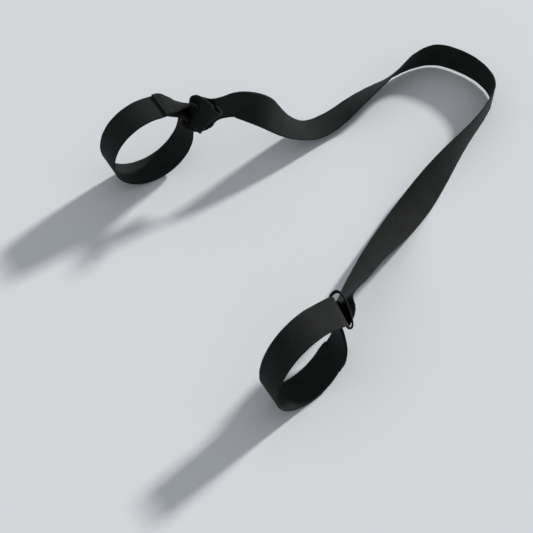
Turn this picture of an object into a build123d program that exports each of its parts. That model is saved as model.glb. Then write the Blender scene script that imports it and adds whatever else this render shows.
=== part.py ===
"""Stretching strap: one length of flat webbing with a sewn eye at each end, set as two slip nooses.

Each noose stands as if round a rolled mat, and the stretch between them, the handle, lies on
the floor beside it.  Millimetres, +X from the nooses to the handle's bow, +Y along the roll,
+Z up, with the origin on the floor at the middle of the whole strap.
"""

from build123d import *
import math
import os

# Webbing
WEB_WIDTH = 38.0
WEB_THICK = 2.0
RUN = 4

# Nooses, round a roll that lies along Y
ROLL_X = -188.0
ROLL_RADIUS = 52.0
ROLL_SIDES = 48
NOOSE_Y = 180.0
FLOOR_FLAT = 32.0
FLAT_CORNER = 10.0

# Eyes: the end is folded back, sewn flat, and opens into a loop that the strap runs through
SEAM_LENGTH = 12.0
EYE_LENGTH = 48.0
EYE_DEPTH = 16.0
NECK_INSET = 7.0
STITCH_WIDTH = 1.2
STITCH_HEIGHT = 0.5
STITCH_BOX = (30.0, 9.0)

# Far eye: the sewn end comes over the top of the roll, and the strap up through it from below
FAR_EYE = (67.0, 165.5, 64.5)
FAR_EYE_AXIS = (0.47, -0.32, 0.82)
FAR_TOP_ANGLE = 60.0
FAR_LOW_ANGLE = -30.0
FAR_FOLD_ANGLE = 8.0

# Near eye: the sewn end comes up from under the roll, and the strap down through it from the top
NEAR_EYE = (64.5, -164.0, 62.0)
NEAR_EYE_AXIS = (-0.3, -0.25, 0.92)
NEAR_TOP_ANGLE = 54.0
NEAR_LOW_ANGLE = -40.0
NEAR_FOLD_ANGLE = 15.0

# Handle: it lifts about a line along Y through both eyes
HINGE_X = 68.0
HINGE_Z = 62.0
HINGE_CLEAR = 40.0
HINGE_GAP = 0.5

# The handle's middle line, and how far its outer edge leans up from lying flat, in degrees
HANDLE_ROUTE = [
    (-101, 156, 92, 74),
    (-82, 144, 89, 70),
    (-56, 131, 73, 45),
    (-35, 127, 48, 31),
    (-13, 126, 23, 10),
    (14, 127, 7, -5),
    (47, 130, 6, -15),
    (79, 134, 13, -26),
    (111, 138, 19, -42),
    (144, 144, 20, -61),
    (176, 150, 20, -78),
    (207, 144, 19, -90),
    (229, 118, 19, -90),
    (241, 87, 19, -90),
    (236, 56, 19, -90),
    (211, 35, 19, -90),
    (181, 19, 19, -90),
    (152, 5, 19, -81),
    (121, -8, 18, -63),
    (91, -21, 14, -44),
    (61, -35, 10, -25),
    (31, -49, 9, -7),
    (2, -64, 15, 8),
    (-26, -79, 24, 23),
    (-53, -95, 32, 30),
    (-80, -113, 38, 30),
    (-101, -131, 38, 26),
]

ROLL_Z = ROLL_RADIUS + WEB_THICK
MID_RADIUS = ROLL_RADIUS + WEB_THICK / 2


def on_roll(angle, radius, y):
    """A point at this angle round the roll, counted from +X towards +Z."""
    turn = math.radians(angle)
    return Vector(ROLL_X + radius * math.cos(turn), y, ROLL_Z + radius * math.sin(turn))


def webbing(name, stations, moves):
    """Flat webbing through stations of middle point and edge-to-edge direction.

    The handle stops short of a round space about its hinge, and the webbing in the eyes stays in
    that space on the handle's side, so that neither meets the other as the handle lifts.
    """
    points = [Vector(point) for point, across in stations]
    last = len(points) - 1
    planes = []
    for i, (point, across) in enumerate(stations):
        along = (points[min(i + 1, last)] - points[max(i - 1, 0)]).normalized()
        across = Vector(*across)
        across = (across - along * across.dot(along)).normalized()
        planes.append(Plane(origin=points[i], x_dir=across, z_dir=along))
    with BuildPart() as part:
        for first in range(0, last, RUN):
            for plane in planes[first:first + RUN + 1]:
                with BuildSketch(plane):
                    Rectangle(WEB_WIDTH, WEB_THICK)
            loft(ruled=True)
        reach = 3 * NOOSE_Y
        with BuildSketch(Plane.XZ.offset(-reach / 2)):
            with Locations((ROLL_X + HINGE_X, HINGE_Z)):
                Circle(HINGE_CLEAR if moves else HINGE_CLEAR - HINGE_GAP)
                if not moves:
                    Rectangle(reach, reach, align=(Align.MAX, Align.CENTER))
        extrude(amount=reach, mode=Mode.SUBTRACT if moves else Mode.INTERSECT)
        if not moves:
            with BuildSketch(Plane.XZ.offset(-reach / 2)):
                with Locations((ROLL_X, ROLL_Z)):
                    RegularPolygon(ROLL_RADIUS, ROLL_SIDES, major_radius=False)
            extrude(amount=reach, mode=Mode.SUBTRACT)
    part.part.label = name
    export_step(part.part, f"parts/{name}.step")
    return part


def leaning(route):
    """Turn the route's leans into edge-to-edge directions, from the inner edge to the outer one."""
    points = [Vector(*stop[:3]) for stop in route]
    last = len(points) - 1
    stations = []
    for i, (x, y, z, lean) in enumerate(route):
        along = (points[min(i + 1, last)] - points[max(i - 1, 0)]).normalized()
        outward = Vector(0, 0, 1).cross(along).normalized()
        upward = along.cross(outward)
        turn = math.radians(lean)
        across = outward * math.cos(turn) + upward * math.sin(turn)
        stations.append(((x, y, z), tuple(across)))
    return stations


def noose_band(name, y, low_angle, top_angle):
    """The webbing on the roll, from its lower right, round below and over the top."""
    half = FLOOR_FLAT / 2
    touch = 2 * math.degrees(math.atan2(half, ROLL_RADIUS))
    first = on_roll(touch - 90, ROLL_RADIUS, 0)
    second = on_roll(-90 - touch, ROLL_RADIUS, 0)
    low = on_roll(low_angle, 3 * ROLL_RADIUS, 0)
    top = on_roll(top_angle, 3 * ROLL_RADIUS, 0)
    with BuildPart() as band:
        with BuildSketch(Plane.XZ.offset(-(y + WEB_WIDTH / 2))):
            with BuildSketch(mode=Mode.PRIVATE) as inside:
                with BuildLine():
                    CenterArc((ROLL_X, ROLL_Z), ROLL_RADIUS, touch - 90, 360 - 2 * touch)
                    FilletPolyline(
                        (second.X, second.Z),
                        (ROLL_X - half, WEB_THICK),
                        (ROLL_X + half, WEB_THICK),
                        (first.X, first.Z),
                        radius=FLAT_CORNER,
                    )
                make_face()
            add(inside.sketch)
            offset(amount=WEB_THICK, kind=Kind.ARC)
            add(inside.sketch, mode=Mode.SUBTRACT)
            with BuildLine():
                Polyline((ROLL_X, ROLL_Z), (low.X, low.Z), (top.X, top.Z), close=True)
            make_face(mode=Mode.SUBTRACT)
        extrude(amount=WEB_WIDTH)
    band.part.label = name
    export_step(band.part, f"parts/{name}.step")
    return band


def leave(angle, side, along, radius, y):
    """A point on the straight line that leaves the roll at this angle."""
    turn = math.radians(angle)
    return on_roll(angle, radius, y) + Vector(math.sin(turn), 0, -math.cos(turn)) * side * along


def seam_plane(angle, side, y, along, up):
    """The plane across the sewn end, this far past where it leaves the roll and off its inner face."""
    turn = math.radians(angle)
    forward = Vector(math.sin(turn), 0, -math.cos(turn)) * side
    return Plane(origin=leave(angle, side, along, ROLL_RADIUS + up, y), x_dir=(0, side, 0), z_dir=forward)


def eye_plane(centre, axis):
    """The plane across an eye's hollow: its X is the hollow's long way, nearly along the roll."""
    axis = Vector(axis).normalized()
    return Plane(origin=Vector(centre) + Vector(ROLL_X, 0, 0), x_dir=Vector(0, 1, 0) - axis * axis.Y, z_dir=axis)


def eye(name, angle, side, y, plane):
    """The sewn end's inner layer, the doubled neck that turns on edge, and the eye's loop.

    Where the soft loop rests against the roll, the roll's space is cut out of it.
    """
    reach = plane.x_dir.cross(plane.z_dir)
    root = plane.origin - reach * (EYE_DEPTH / 2) + plane.x_dir * side * (EYE_LENGTH / 2 - NECK_INSET)
    start = seam_plane(angle, side, y, SEAM_LENGTH, WEB_THICK)
    steps = 6
    with BuildPart() as part:
        with BuildSketch(seam_plane(angle, side, y, 0, WEB_THICK / 2)):
            Rectangle(WEB_WIDTH, WEB_THICK)
        extrude(amount=SEAM_LENGTH)
        for i in range(steps + 1):
            share = i / steps
            quarter = math.radians(90 * share)
            along = (start.z_dir * (1 - share) + reach * share).normalized()
            across = start.x_dir * math.cos(quarter) + plane.z_dir * math.sin(quarter)
            across = (across - along * across.dot(along)).normalized()
            point = start.origin + (root - start.origin) * share
            with BuildSketch(Plane(origin=point, x_dir=across, z_dir=along)):
                Rectangle(WEB_WIDTH, 2 * WEB_THICK)
        loft(ruled=True)
        with BuildSketch(plane.offset(-WEB_WIDTH / 2)):
            SlotOverall(EYE_LENGTH, EYE_DEPTH)
            SlotOverall(EYE_LENGTH - 2 * WEB_THICK, EYE_DEPTH - 2 * WEB_THICK, mode=Mode.SUBTRACT)
        extrude(amount=WEB_WIDTH)
        span = 3 * NOOSE_Y
        with BuildSketch(Plane.XZ.offset(-span / 2)):
            with Locations((ROLL_X, ROLL_Z)):
                RegularPolygon(ROLL_RADIUS, ROLL_SIDES, major_radius=False)
        extrude(amount=span, mode=Mode.SUBTRACT)
    part.part.label = name
    export_step(part.part, f"parts/{name}.step")
    return part


def tail(name, angle, side, y, fold):
    """The folded-back end: it lies on the outer face of the webbing and is cut off square."""
    inner = ROLL_RADIUS + WEB_THICK
    outer = inner + WEB_THICK
    corners = [(inner, angle), (outer, angle), (outer, angle + side * fold), (inner, angle + side * fold)]
    a, b, c, d = [(on_roll(at, r, 0).X, on_roll(at, r, 0).Z) for r, at in corners]
    half = angle + side * fold / 2
    low, high = [(on_roll(half, r, 0).X, on_roll(half, r, 0).Z) for r in (inner, outer)]
    with BuildPart() as part:
        with BuildSketch(seam_plane(angle, side, y, 0, 1.5 * WEB_THICK)):
            Rectangle(WEB_WIDTH, WEB_THICK)
        extrude(amount=SEAM_LENGTH)
        with BuildSketch(Plane.XZ.offset(-(y + WEB_WIDTH / 2))):
            with BuildLine():
                Line(a, b)
                ThreePointArc(b, high, c)
                Line(c, d)
                ThreePointArc(d, low, a)
            make_face()
        extrude(amount=WEB_WIDTH)
    part.part.label = name
    export_step(part.part, f"parts/{name}.step")
    return part


def stitching(name, angle, side, y):
    """The thread that holds the fold: a box with a cross in it."""
    seam = seam_plane(angle, side, y, SEAM_LENGTH / 2, 2 * WEB_THICK)
    turn = math.radians(angle)
    outward = (math.cos(turn), 0, math.sin(turn))
    length, depth = STITCH_BOX
    diagonal = math.degrees(math.atan2(depth - STITCH_WIDTH, length - STITCH_WIDTH))
    with BuildPart() as part:
        with BuildSketch(Plane(origin=seam.origin, x_dir=(0, 1, 0), z_dir=outward)):
            Rectangle(length, depth)
            Rectangle(length - 2 * STITCH_WIDTH, depth - 2 * STITCH_WIDTH, mode=Mode.SUBTRACT)
            for slope in (diagonal, -diagonal):
                with Locations(Rotation(0, 0, slope)):
                    Rectangle(length - STITCH_WIDTH, STITCH_WIDTH)
        extrude(amount=STITCH_HEIGHT)
    part.part.label = name
    export_step(part.part, f"parts/{name}.step")
    return part


os.makedirs("parts", exist_ok=True)

far_band = noose_band("far_noose_webbing", NOOSE_Y, FAR_LOW_ANGLE, FAR_TOP_ANGLE)
near_band = noose_band("near_noose_webbing", -NOOSE_Y, NEAR_LOW_ANGLE, NEAR_TOP_ANGLE)

far_hollow = eye_plane(FAR_EYE, FAR_EYE_AXIS)
near_hollow = eye_plane(NEAR_EYE, NEAR_EYE_AXIS)
far_eye = eye("far_eye_webbing", FAR_TOP_ANGLE, 1, NOOSE_Y, far_hollow)
near_eye = eye("near_eye_webbing", NEAR_LOW_ANGLE, -1, -NOOSE_Y, near_hollow)

far_tail = tail("far_eye_tail", FAR_TOP_ANGLE, 1, NOOSE_Y, FAR_FOLD_ANGLE)
near_tail = tail("near_eye_tail", NEAR_LOW_ANGLE, -1, -NOOSE_Y, NEAR_FOLD_ANGLE)
far_thread = stitching("far_eye_stitching", FAR_TOP_ANGLE, 1, NOOSE_Y)
near_thread = stitching("near_eye_stitching", NEAR_LOW_ANGLE, -1, -NOOSE_Y)

handle_stations = leaning(HANDLE_ROUTE)


def through(plane, reach, along):
    """A point in an eye's hollow, this far off its middle and along its axis."""
    return plane.origin + plane.x_dir.cross(plane.z_dir) * reach + plane.z_dir * along


# From the far noose, up through the far eye, to the handle
far_pass_stations = [
    (on_roll(FAR_LOW_ANGLE, MID_RADIUS, NOOSE_Y), (0, 1, 0)),
    (leave(FAR_LOW_ANGLE, -1, 4, MID_RADIUS, NOOSE_Y), (0, 1, 0)),
    (through(far_hollow, 0, -24), far_hollow.x_dir),
    (through(far_hollow, 0, 0), far_hollow.x_dir),
    (through(far_hollow, 0, 22), far_hollow.x_dir),
    handle_stations[0],
    handle_stations[1],
]

# From over the near noose, down through the near eye, to the handle
near_pass_stations = [
    (on_roll(NEAR_TOP_ANGLE, MID_RADIUS, -NOOSE_Y), (0, 1, 0)),
    (leave(NEAR_TOP_ANGLE, 1, 8, MID_RADIUS, -NOOSE_Y), (0, 1, 0)),
    (through(near_hollow, -4, 24), near_hollow.x_dir),
    (through(near_hollow, -2, 0), near_hollow.x_dir),
    (through(near_hollow, 0, -23), near_hollow.x_dir),
    handle_stations[-1],
    handle_stations[-2],
]

far_pass = webbing("far_passing_webbing", far_pass_stations, moves=False)
near_pass = webbing("near_passing_webbing", near_pass_stations, moves=False)
handle = webbing("handle_webbing", handle_stations, moves=True)
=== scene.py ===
import math

import bpy
import numpy as np
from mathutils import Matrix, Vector


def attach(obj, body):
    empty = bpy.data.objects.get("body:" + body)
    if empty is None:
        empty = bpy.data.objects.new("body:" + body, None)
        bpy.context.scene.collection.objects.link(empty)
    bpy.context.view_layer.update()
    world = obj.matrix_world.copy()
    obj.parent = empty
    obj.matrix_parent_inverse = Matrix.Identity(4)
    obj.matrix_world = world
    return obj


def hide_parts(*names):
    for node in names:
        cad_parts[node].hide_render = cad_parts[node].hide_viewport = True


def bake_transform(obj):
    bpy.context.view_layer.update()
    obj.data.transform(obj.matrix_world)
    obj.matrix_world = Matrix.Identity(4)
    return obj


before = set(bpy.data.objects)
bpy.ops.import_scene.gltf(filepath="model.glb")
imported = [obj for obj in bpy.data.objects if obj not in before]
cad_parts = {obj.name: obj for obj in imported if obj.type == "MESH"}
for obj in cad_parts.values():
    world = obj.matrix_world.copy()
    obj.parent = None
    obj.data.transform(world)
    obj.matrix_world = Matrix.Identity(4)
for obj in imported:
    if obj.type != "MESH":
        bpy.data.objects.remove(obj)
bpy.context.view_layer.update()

# Millimetres, made metres when a mesh is built. Places are counted from the roll's axis (X),
# the near side (Y) and the floor (Z), and SHIFT takes them to the row frame.
MM = 0.001
SHIFT = (-188.0, -306.5, 0.0)

# Webbing: its section, and the mesh's step along it and number of points across it
WIDTH = 38.0
THICK = 2.0
STEP = 1.3
RING = 22
# Its edges: how they round off, the thicker bead along them and the weft's small teeth
EDGE_ROUNDING = 1.0
BEAD = 0.14
BEAD_INSET = 1.3
BEAD_WIDTH = 0.8
TOOTH = 0.16
TOOTH_PITCH = 3.9
# How far it cups across its width, and how far its edges ripple
CUP = 0.4
RIPPLE = 0.10

# Its weave, as the material draws it
WARP_PITCH = 1.45
WEFT_PITCH = 1.9

# Stitching: the box it fills, one stitch's length, and the thread's half thickness and mesh
SEAM_LONG = 30.0
SEAM_DEEP = 11.0
STITCH = 2.9
THREAD = 0.36
THREAD_SIDES = 8
THREAD_STEPS = 6

# Roll that the nooses stand round, the turn between two rows on it, and the step between two
# layers of webbing that lie on each other
ROLL_Z = 54.0
MID_RADIUS = 53.0
FAR_Y = 486.5
TURN = 8.0
LAYER = 2.1


# ---------------------------------------------------------------- webbing meshes

def spline(points, fineness=30):
    """Points along a smooth open NURBS line that has the given control points."""
    curve = bpy.data.curves.new("route", "CURVE")
    curve.dimensions = "3D"
    curve.resolution_u = fineness
    line = curve.splines.new("NURBS")
    line.points.add(len(points) - 1)
    for point, place in zip(line.points, points):
        point.co = (*place, 1.0)
    line.order_u = 3
    line.use_endpoint_u = True
    holder = bpy.data.objects.new("route", curve)
    mesh = bpy.data.meshes.new_from_object(holder)
    out = np.empty(3 * len(mesh.vertices))
    mesh.vertices.foreach_get("co", out)
    bpy.data.objects.remove(holder)
    bpy.data.curves.remove(curve)
    bpy.data.meshes.remove(mesh)
    return out.reshape(-1, 3)


def unit(vectors):
    vectors = np.asarray(vectors, float)
    return vectors / np.linalg.norm(vectors, axis=-1, keepdims=True)


def travelled(line):
    return np.concatenate([[0.0], np.cumsum(np.linalg.norm(np.diff(line, axis=0), axis=1))])


def waver(run):
    """A slow, smooth unevenness between -1 and 1 along a strand."""
    return (np.sin(run / 17.0) + np.sin(run / 7.3) * 0.6 + np.sin(run / 41.0)) / 2.6


def ribbon(name, line, across, run):
    """Flat webbing along a strand: full in the middle, beaded and rounded at its selvedges."""
    along = unit(np.gradient(line, axis=0))
    face = np.cross(along, across)
    spread = np.linspace(-1.0, 1.0, RING)
    spread = 0.72 * spread + 0.28 * np.sin(spread * math.pi / 2)
    half = WIDTH / 2
    from_edge = half * (1 - np.abs(spread))
    body = np.sqrt(1 - (1 - np.clip(from_edge / EDGE_ROUNDING, 0, 1)) ** 2)
    bead = BEAD * np.exp(-((from_edge - BEAD_INSET) / BEAD_WIDTH) ** 2)
    depth = (THICK / 2 - BEAD + bead) * body
    verts, web = [], []
    for k in range(len(line)):
        tooth = TOOTH * math.sin(run[k] * 2 * math.pi / TOOTH_PITCH)
        bow = CUP * waver(run[k])
        ripple = RIPPLE * np.sin(run[k] / 2.9 + spread * 5.0) * np.abs(spread) ** 2
        place = spread * (half + tooth)
        height = bow * (0.4 - spread ** 2) + ripple
        for side, order in ((1, range(RING)), (-1, range(RING - 2, 0, -1))):
            for j in order:
                lift = height[j] + side * depth[j]
                verts.append(line[k] + across[k] * place[j] + face[k] * lift)
                web.append((run[k], spread[j] * half, side))
    loop = 2 * RING - 2
    faces = []
    for k in range(len(line) - 1):
        for j in range(loop):
            a, b = k * loop + j, k * loop + (j + 1) % loop
            faces.append((a, b, b + loop, a + loop))
    for base, flip in ((0, True), ((len(line) - 1) * loop, False)):
        for j in range(RING - 1):
            corners = [base + j, base + j + 1, base + (loop - j - 1), base + (loop - j) % loop]
            corners = list(dict.fromkeys(corners))
            faces.append(tuple(reversed(corners)) if flip else tuple(corners))
    return solid(name, verts, faces, web)


def solid(name, verts, faces, web):
    """A smooth closed mesh, with the place of each point on the webbing kept for the material."""
    mesh = bpy.data.meshes.new(name)
    mesh.from_pydata(((np.array(verts) + SHIFT) * MM).tolist(), [], faces)
    layer = mesh.attributes.new("web", "FLOAT_VECTOR", "POINT")
    layer.data.foreach_set("vector", np.array(web, np.float32).ravel())
    mesh.polygons.foreach_set("use_smooth", np.ones(len(mesh.polygons), bool))
    mesh.update()
    piece = bpy.data.objects.new(name, mesh)
    bpy.context.scene.collection.objects.link(piece)
    return piece


# ---------------------------------------------------------------- routes
# A row is a place, then the direction from the webbing's inner edge to its outer one. One length
# of webbing runs through all of them: far tail, far eye, far noose, handle, near noose, near eye
# and near tail.

def on_roll(angle, radius, y):
    """A row at this angle round the roll, counted from +X towards +Z, no lower than the floor."""
    turn = math.radians(angle)
    rim = radius / math.cos(math.radians(TURN / 2))
    z = max(ROLL_Z + rim * math.sin(turn), THICK / 2)
    return (rim * math.cos(turn), y, z, 0.0, 1.0, 0.0)


# Far end: the doubled neck leaves the top of the roll and turns on edge
FAR_NECK = [
    (32.0, 486.3, 100.8, 0.00, 0.99, -0.08),
    (41.5, 485.3, 96.4, 0.06, 0.88, -0.46),
    (49.5, 483.5, 92.4, 0.12, 0.70, -0.70),
    (54.8, 480.8, 89.6, 0.08, 0.58, -0.80),
]
# The far eye's two walls, with its fold between them: the front one faces the camera
FAR_FRONT_WALL = [
    (57.6, 476.5, 88.8, -0.32, 0.64, -0.70),
    (58.8, 467.0, 91.0, -0.44, 0.60, -0.66),
    (60.0, 454.0, 94.0, -0.56, 0.48, -0.67),
    (60.6, 443.0, 95.0, -0.61, 0.34, -0.72),
]
FAR_BACK_WALL = [
    (64.8, 443.3, 91.4, -0.61, 0.34, -0.72),
    (65.8, 454.0, 88.8, -0.57, 0.44, -0.70),
    (66.2, 466.0, 84.4, -0.52, 0.56, -0.65),
    (65.0, 474.5, 79.6, -0.40, 0.62, -0.68),
    (60.8, 480.5, 79.4, -0.18, 0.62, -0.76),
]
# The strap inside the far eye: back from its fold, round the eye's lower edge and up
FAR_RISE = [
    (49.6, 482.5, 76.0, 0.05, 0.99, -0.12),
    (53.0, 477.0, 74.0, 0.22, 0.92, -0.32),
    (57.0, 472.0, 77.5, 0.16, 0.95, -0.25),
    (61.0, 467.0, 82.0, -0.22, 0.93, 0.10),
    (67.0, 462.0, 87.5, -0.58, 0.62, 0.52),
    (77.0, 461.0, 88.5, -0.50, 0.18, 0.84),
    (91.0, 457.0, 90.0, -0.14, 0.04, 0.99),
]
# The handle's middle line and how far its outer edge leans up, from the far eye to the near one
HANDLE = [
    (108, 450, 92.5, 74),
    (134, 436.5, 78, 48),
    (154, 433, 50, 31),
    (176, 432, 25, 10),
    (203, 433, 5, -5),
    (236, 436, 4, -15),
    (268, 440, 13, -27),
    (300, 444, 19, -42),
    (333, 449, 21, -61),
    (365, 457, 20, -78),
    (399, 453, 20, -92),
    (420, 425, 20, -94),
    (431, 392, 20, -92),
    (427, 359, 20, -91),
    (400, 340, 19, -94),
    (370, 325, 19, -92),
    (341, 312, 19, -81),
    (310, 298, 18, -63),
    (280, 285, 13, -44),
    (250, 271, 9, -25),
    (220, 257, 9, -7),
    (191, 242, 14, 8),
    (162, 226, 24, 23),
    (135, 210, 33, 36),
    (106, 191, 42, 44),
]
# The strap inside the near eye: up through it, bent over its edge and onto the roll
NEAR_SINK = [
    (85.0, 177.5, 48.5, 0.55, -0.25, 0.80),
    (69.5, 168.5, 53.5, 0.52, -0.42, 0.74),
    (62.5, 161.0, 59.0, 0.42, -0.80, 0.15),
    (59.0, 152.5, 66.0, 0.08, -0.93, -0.36),
    (56.0, 146.4, 74.2, -0.01, -0.90, -0.43),
    (53.6, 142.8, 84.0, -0.01, -0.92, -0.38),
    (48.0, 140.8, 90.8, 0.0, -0.96, -0.22),
    (38.5, 138.6, 96.4, 0.0, -1.0, -0.10),
]
# The near end: the doubled neck comes up from under the roll, and opens into the near eye
NEAR_NECK = [
    (42.0, 133.5, 22.0, 0.03, 1.00, -0.04),
    (49.5, 138.5, 33.0, 0.12, 0.93, -0.30),
    (54.5, 147.0, 45.0, 0.24, 0.78, -0.55),
    (55.5, 158.5, 57.0, 0.31, 0.58, -0.74),
]
NEAR_FRONT_WALL = [
    (55.5, 169.0, 68.0, 0.33, 0.42, -0.85),
    (61.5, 173.5, 74.0, 0.33, 0.42, -0.85),
    (69.0, 172.5, 76.5, 0.33, 0.42, -0.85),
    (71.3, 163.5, 73.0, 0.33, 0.42, -0.85),
    (70.9, 154.0, 68.3, 0.33, 0.42, -0.85),
    (69.3, 145.5, 63.6, 0.33, 0.42, -0.85),
    (65.8, 134.8, 56.8, 0.33, 0.42, -0.85),
]
NEAR_BACK_WALL = [
    (60.0, 134.8, 54.8, 0.33, 0.42, -0.85),
    (58.2, 144.0, 58.5, 0.33, 0.44, -0.84),
    (57.6, 152.0, 61.5, 0.32, 0.47, -0.82),
    (58.2, 157.5, 60.5, 0.31, 0.54, -0.78),
]


def leaned(stops):
    """Rows from places and leans: at 0 the webbing lies flat, at 90 it stands on edge."""
    points = np.array([stop[:3] for stop in stops], float)
    along = unit(np.gradient(points, axis=0))
    rows = []
    for point, way, stop in zip(points, along, stops):
        out = unit(np.cross((0, 0, 1), way))
        up = np.cross(way, out)
        turn = math.radians(stop[3])
        rows.append((*point, *(out * math.cos(turn) + up * math.sin(turn))))
    return rows


def laid_on(rows, gap):
    """The rows of a layer that lies on the outer face of another."""
    points = np.array([row[:3] for row in rows])
    along = unit(np.gradient(points, axis=0))
    face = unit(np.cross(along, [row[3:] for row in rows]))
    return [(*(point + way * gap), *row[3:]) for point, way, row in zip(points, face, rows)]


def flipped(rows):
    return [(*row[:3], *(-np.array(row[3:]))) for row in rows]


def near_y(angle):
    """Where the slanting near noose lies along the roll; its angle counts down from 0."""
    share = (-angle - 180.0) / 120.0
    return 117.0 + (20.0 * share ** 1.4 if share > 0 else 14.0 * share ** 2)


def strap():
    """The rows of the whole length of webbing, as a list of (piece, rows)."""
    crease = [on_roll(69, MID_RADIUS + 0.9, FAR_Y), on_roll(64, MID_RADIUS + 2.8, FAR_Y)]
    far_neck = crease + FAR_NECK
    far_noose = [on_roll(angle, MID_RADIUS, FAR_Y) for angle in np.arange(76.0, 416.1, TURN)]
    turned = [(66, 0.4, 0), (67, 2.0, 0), (58, 2.3, 0), (46, 2.3, 0), (35, 2.3, -2)]
    fold = [on_roll(angle, MID_RADIUS + up, FAR_Y + shift) for angle, up, shift in turned]
    near_angles = np.arange(-292.0, -43.9, TURN)
    near_noose = [on_roll(angle, MID_RADIUS, near_y(angle)) for angle in near_angles]
    near_neck = flipped(near_noose[-2:] + NEAR_NECK)
    return [
        ("far_tail", laid_on(far_neck, LAYER)),
        ("far_eye", FAR_BACK_WALL[::-1] + FAR_FRONT_WALL[::-1] + far_neck[::-1]),
        ("far_noose", far_noose + fold + FAR_RISE[:4]),
        ("handle", FAR_RISE[4:] + leaned(HANDLE) + NEAR_SINK[:4]),
        ("near_noose", NEAR_SINK[4:] + flipped(near_noose)),
        ("near_eye", flipped(NEAR_NECK + NEAR_FRONT_WALL + NEAR_BACK_WALL)),
        ("near_tail", laid_on(near_neck, LAYER)[::-1]),
    ]



def make_webbing():
    """One ribbon for each piece, cut from one unbroken strand, and the strand under each."""
    groups = strap()
    rows = np.array([[float(x) for x in row] for name, group in groups for row in group])
    middle = spline(rows[:, :3])
    edge = spline(rows[:, :3] + unit(rows[:, 3:6]) * WIDTH / 2)
    run = travelled(middle)
    count = round(run[-1] / STEP) + 1
    want = np.linspace(0, run[-1], count)
    line, edge = [
        np.column_stack([np.interp(want, run, r[:, k]) for k in range(3)]) for r in (middle, edge)
    ]
    along = unit(np.gradient(line, axis=0))
    across = edge - line
    across = unit(across - (across * along).sum(1)[:, None] * along)
    pieces, strands = {}, {}
    first, passed = 0, 0
    for name, group in groups:
        passed += len(group)
        if passed == len(rows):
            last = count - 1
        else:
            share = (passed - 1) / (len(rows) - 2)
            reached = np.interp(share * (len(middle) - 1), range(len(run)), run)
            last = int(np.searchsorted(want, reached))
        part = slice(first, last + 1)
        pieces[name] = ribbon(name, line[part], across[part], want[part])
        strands[name] = (line[part], across[part], want[part])
        first = last
    return pieces, strands


pieces, strands = make_webbing()


def stitches(name, strand, start, side):
    """A box with a cross in it, sewn in thick thread through both layers of a neck."""
    line, across, run = strand
    face = np.cross(unit(np.gradient(line, axis=0)), across)
    run = run - run[0]
    up = unit(face[min(int(len(run) * 0.5), len(run) - 1)])

    def on_web(along_web, across_web, height):
        k = np.interp(start + along_web, run, np.arange(len(run)))
        i = min(int(k), len(run) - 2)
        f = k - i
        p = line[i] * (1 - f) + line[i + 1] * f
        return p + across[i] * across_web + face[i] * (side * (THICK / 2 + height))

    half = SEAM_LONG / 2
    corners = [(0, -half), (0, half), (SEAM_DEEP, half), (SEAM_DEEP, -half)]
    seams = [(corners[i], corners[(i + 1) % 4]) for i in range(4)]
    seams += [(corners[0], corners[2]), (corners[1], corners[3])]
    verts, web, faces = [], [], []
    for (a0, c0), (a1, c1) in seams:
        number = max(2, round(math.hypot(a1 - a0, c1 - c0) / STITCH))
        for s in range(number):
            t0, t1 = (s + 0.08) / number, (s + 0.92) / number
            path = []
            for i in range(THREAD_STEPS + 1):
                t = t0 + (t1 - t0) * i / THREAD_STEPS
                swell = math.sin(math.pi * i / THREAD_STEPS)
                height = -0.28 + 0.42 * swell ** 0.6
                path.append(on_web(a0 + (a1 - a0) * t, c0 + (c1 - c0) * t, height))
            path = np.array(path)
            way = unit(np.gradient(path, axis=0))
            base = len(verts)
            for i, point in enumerate(path):
                out = unit(np.cross(way[i], up))
                top = np.cross(out, way[i])
                thick = THREAD * (0.55 + 0.45 * math.sin(math.pi * i / THREAD_STEPS))
                for j in range(THREAD_SIDES):
                    turn = 2 * math.pi * j / THREAD_SIDES
                    verts.append(point + (out * math.cos(turn) + top * math.sin(turn)) * thick)
                    web.append((s * 3.0 + i * 0.5, turn, 0.0))
            for i in range(THREAD_STEPS):
                ring = base + i * THREAD_SIDES
                for j in range(THREAD_SIDES):
                    a, b = ring + j, ring + (j + 1) % THREAD_SIDES
                    faces.append((a, b, b + THREAD_SIDES, a + THREAD_SIDES))
            end = base + THREAD_STEPS * THREAD_SIDES
            faces.append(tuple(base + j for j in reversed(range(THREAD_SIDES))))
            faces.append(tuple(end + j for j in range(THREAD_SIDES)))
    return solid(name, verts, faces, web)


pieces["far_stitching"] = stitches("far_stitching", strands["far_tail"], 6.0, 1)
pieces["near_stitching"] = stitches("near_stitching", strands["near_tail"], 22.0, -1)


# ---------------------------------------------------------------- materials

def node(tree, kind, inputs=None, **settings):
    made = tree.nodes.new(kind)
    for key, value in settings.items():
        setattr(made, key, value)
    for key, value in (inputs or {}).items():
        if isinstance(value, bpy.types.NodeSocket):
            tree.links.new(value, made.inputs[key])
        else:
            made.inputs[key].default_value = value
    return made


def maths(tree, operation, a, b=0.0, c=0.0, clamp=False):
    return node(tree, "ShaderNodeMath", {0: a, 1: b, 2: c},
                operation=operation, use_clamp=clamp).outputs[0]


def noise(tree, web, scale, detail, roughness=0.5):
    return node(tree, "ShaderNodeTexNoise", {
        "Vector": web, "Scale": scale, "Detail": detail, "Roughness": roughness,
    }).outputs["Fac"]


def shader(name):
    material = bpy.data.materials.new(name)
    material.use_nodes = True
    return material, material.node_tree, material.node_tree.nodes["Principled BSDF"]


def between(tree, amount, dark, light):
    """A colour between two, by an amount from 0 to 1."""
    ramp = node(tree, "ShaderNodeValToRGB", {"Fac": amount})
    ramp.color_ramp.elements[0].color = (*dark, 1)
    ramp.color_ramp.elements[1].color = (*light, 1)
    return ramp.outputs["Color"]


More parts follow.
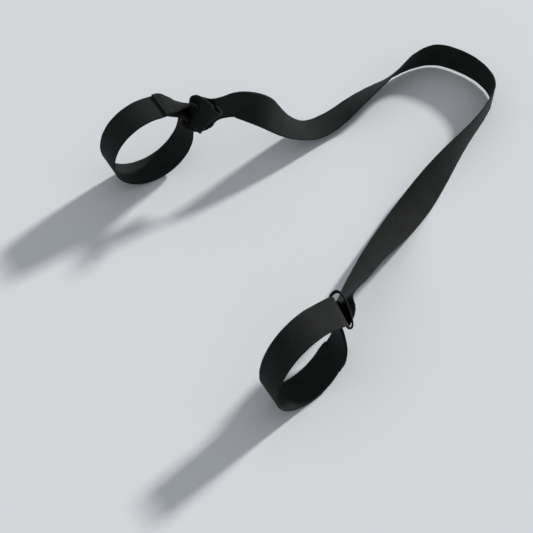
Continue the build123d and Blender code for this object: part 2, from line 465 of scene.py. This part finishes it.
def webbing_material(name, dark, light):
    """Matte black woven tape: ribs across it with painted shade in their valleys, a fine twill,
    lint, and paler selvedges that are a painted highlight along the beaded edges.
    """
    material, tree, bsdf = shader(name)
    web = node(tree, "ShaderNodeAttribute", attribute_name="web").outputs["Vector"]
    parts = node(tree, "ShaderNodeSeparateXYZ", {0: web})
    run, side = parts.outputs["X"], parts.outputs["Y"]
    # weft ribs 1.9 mm apart, each stepped a little from one warp end to the next
    warp = maths(tree, "SINE", maths(tree, "MULTIPLY", side, 2 * math.pi / WARP_PITCH))
    step = maths(tree, "MULTIPLY", warp, 1.1)
    weft = maths(tree, "SINE", maths(tree, "MULTIPLY_ADD", run, 2 * math.pi / WEFT_PITCH, step))
    weave = maths(tree, "MULTIPLY_ADD", weft, 0.5, 0.5)
    columns = maths(tree, "MULTIPLY_ADD", warp, 0.5, 0.5)
    cloth = maths(tree, "MULTIPLY_ADD", weave, 0.62, maths(tree, "MULTIPLY", columns, 0.38))
    grain = noise(tree, web, 0.42, 5.0, 0.72)
    cloud = noise(tree, web, 0.045, 3.0, 0.55)
    fibre = noise(tree, web, 2.6, 2.0, 0.6)
    # Paler selvedges: a painted highlight along the beaded edges, stepped with the weft's teeth.
    edge_highlight_mask = node(tree, "ShaderNodeMapRange", {
        "Value": maths(tree, "ABSOLUTE", side),
        "From Min": WIDTH / 2 - 2.4, "From Max": WIDTH / 2 - 0.4,
    }, interpolation_type="SMOOTHSTEP").outputs["Result"]
    tooth = maths(tree, "SINE", maths(tree, "MULTIPLY", run, 2 * math.pi / TOOTH_PITCH))
    painted_edge_highlight = maths(tree, "MULTIPLY", edge_highlight_mask, maths(tree, "MULTIPLY_ADD", tooth, 0.35, 0.45))
    # The weave pattern also darkens the colour in its valleys: painted shade between the ribs.
    tone = maths(tree, "MULTIPLY_ADD", grain, 0.95, maths(tree, "MULTIPLY", cloth, 0.30))
    tone = maths(tree, "MULTIPLY_ADD", cloud, 0.45, tone)
    tone = maths(tree, "MULTIPLY_ADD", painted_edge_highlight, 0.40, tone)
    tone = maths(tree, "SUBTRACT", tone, 0.42, clamp=True)
    tree.links.new(between(tree, tone, dark, light), bsdf.inputs["Base Color"])
    rough = node(tree, "ShaderNodeMapRange", {
        "Value": fibre, "From Min": 0.3, "From Max": 0.7, "To Min": 0.74, "To Max": 0.95,
    }).outputs["Result"]
    tree.links.new(rough, bsdf.inputs["Roughness"])
    height = maths(tree, "MULTIPLY_ADD", cloth, 0.8, maths(tree, "MULTIPLY", fibre, 0.35))
    height = maths(tree, "MULTIPLY_ADD", grain, 0.5, height)
    bump = node(tree, "ShaderNodeBump", {"Height": height, "Strength": 0.75, "Distance": 0.0003})
    tree.links.new(bump.outputs["Normal"], bsdf.inputs["Normal"])
    bsdf.inputs["Specular IOR Level"].default_value = 0.13
    bsdf.inputs["Sheen Weight"].default_value = 0.03
    bsdf.inputs["Sheen Roughness"].default_value = 0.5
    return material


def thread_material():
    """Black sewing thread: twisted, with painted shade in the grooves of its twist, and a little
    more gloss than the webbing.
    """
    material, tree, bsdf = shader("black_thread")
    web = node(tree, "ShaderNodeAttribute", attribute_name="web").outputs["Vector"]
    parts = node(tree, "ShaderNodeSeparateXYZ", {0: web})
    twist = maths(tree, "MULTIPLY_ADD", parts.outputs["X"], 9.0, parts.outputs["Y"])
    wound = maths(tree, "SINE", maths(tree, "MULTIPLY", twist, 2.0))
    ply = maths(tree, "MULTIPLY_ADD", wound, 0.5, 0.5)
    fuzz = noise(tree, web, 3.0, 3.0)
    # Lighter on the plies and darker between them: painted shade along the twist.
    tone = maths(tree, "MULTIPLY_ADD", ply, 0.6, maths(tree, "MULTIPLY", fuzz, 0.5), clamp=True)
    colour = between(tree, tone, (0.006, 0.006, 0.006), (0.03, 0.031, 0.03))
    tree.links.new(colour, bsdf.inputs["Base Color"])
    rough = maths(tree, "MULTIPLY_ADD", fuzz, 0.3, 0.4)
    tree.links.new(rough, bsdf.inputs["Roughness"])
    bump = node(tree, "ShaderNodeBump", {"Height": ply, "Strength": 0.6, "Distance": 0.0001})
    tree.links.new(bump.outputs["Normal"], bsdf.inputs["Normal"])
    bsdf.inputs["Specular IOR Level"].default_value = 0.25
    return material


webbing = webbing_material("black_webbing", (0.003, 0.0032, 0.003), (0.024, 0.0252, 0.024))
thread = thread_material()
for name, piece in pieces.items():
    piece.data.materials.append(thread if "stitching" in name else webbing)

# ---------------------------------------------------------------- frame

STANDS_FOR = {
    "far_tail": ["far_eye_tail"],
    "far_eye": ["far_eye_webbing"],
    "far_noose": ["far_noose_webbing", "far_passing_webbing"],
    "handle": ["handle_webbing"],
    "near_noose": ["near_noose_webbing", "near_passing_webbing"],
    "near_eye": ["near_eye_webbing"],
    "near_tail": ["near_eye_tail"],
    "far_stitching": ["far_eye_stitching"],
    "near_stitching": ["near_eye_stitching"],
}
for name, nodes in STANDS_FOR.items():
    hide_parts(*nodes)
    if name != "handle":
        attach(pieces[name], "nooses")
for name, piece in pieces.items():
    if name == "handle":
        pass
    elif name.endswith("noose"):
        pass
    elif name.endswith("stitching"):
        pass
    else:
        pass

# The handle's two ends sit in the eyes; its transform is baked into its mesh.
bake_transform(pieces["handle"])

# ---------------------------------------------------------------- room

FLOOR_REACH = 6
SUN_AZIMUTH = math.radians(12.7)
SUN_ELEVATION = math.radians(27)

floor_mesh = bpy.data.meshes.new("floor")
corners = [(x * FLOOR_REACH, y * FLOOR_REACH, 0) for x, y in ((-1, -1), (1, -1), (1, 1), (-1, 1))]
floor_mesh.from_pydata(corners, [], [(0, 1, 2, 3)])
floor = bpy.data.objects.new("floor", floor_mesh)
bpy.context.scene.collection.objects.link(floor)
floor.location.z = -0.0005
floor_mat, floor_tree, floor_bsdf = shader("pale_floor")
floor_bsdf.inputs["Base Color"].default_value = (0.74, 0.75, 0.76, 1)
floor_bsdf.inputs["Roughness"].default_value = 0.8
floor_mesh.materials.append(floor_mat)

world = bpy.data.worlds.new("world")
bpy.context.scene.world = world
world.use_nodes = True
sky = world.node_tree.nodes["Background"]
sky.inputs["Color"].default_value = (0.9, 0.95, 1.0, 1)
sky.inputs["Strength"].default_value = 0.45

sun = bpy.data.lights.new("sun", "SUN")
sun.energy = 3.2
sun.angle = math.radians(6)
sun_obj = bpy.data.objects.new("sun", sun)
bpy.context.scene.collection.objects.link(sun_obj)
toward = Vector((
    math.cos(SUN_AZIMUTH) * math.cos(SUN_ELEVATION),
    math.sin(SUN_AZIMUTH) * math.cos(SUN_ELEVATION),
    math.sin(SUN_ELEVATION),
))
sun_obj.rotation_euler = toward.to_track_quat("Z", "Y").to_euler()
sun_obj.location = toward * 3

cam = bpy.data.cameras.new("camera")
cam.sensor_width = 36
cam.lens = 98.96
cam_obj = bpy.data.objects.new("camera", cam)
bpy.context.scene.collection.objects.link(cam_obj)
cam_obj.location = (-0.6558, -0.8752, 1.3913)
forward = Vector((0.3006, 0.4998, -0.8124))
cam_obj.rotation_euler = forward.to_track_quat("-Z", "Y").to_euler()
bpy.context.scene.camera = cam_obj
bpy.context.scene.view_settings.view_transform = "Standard"
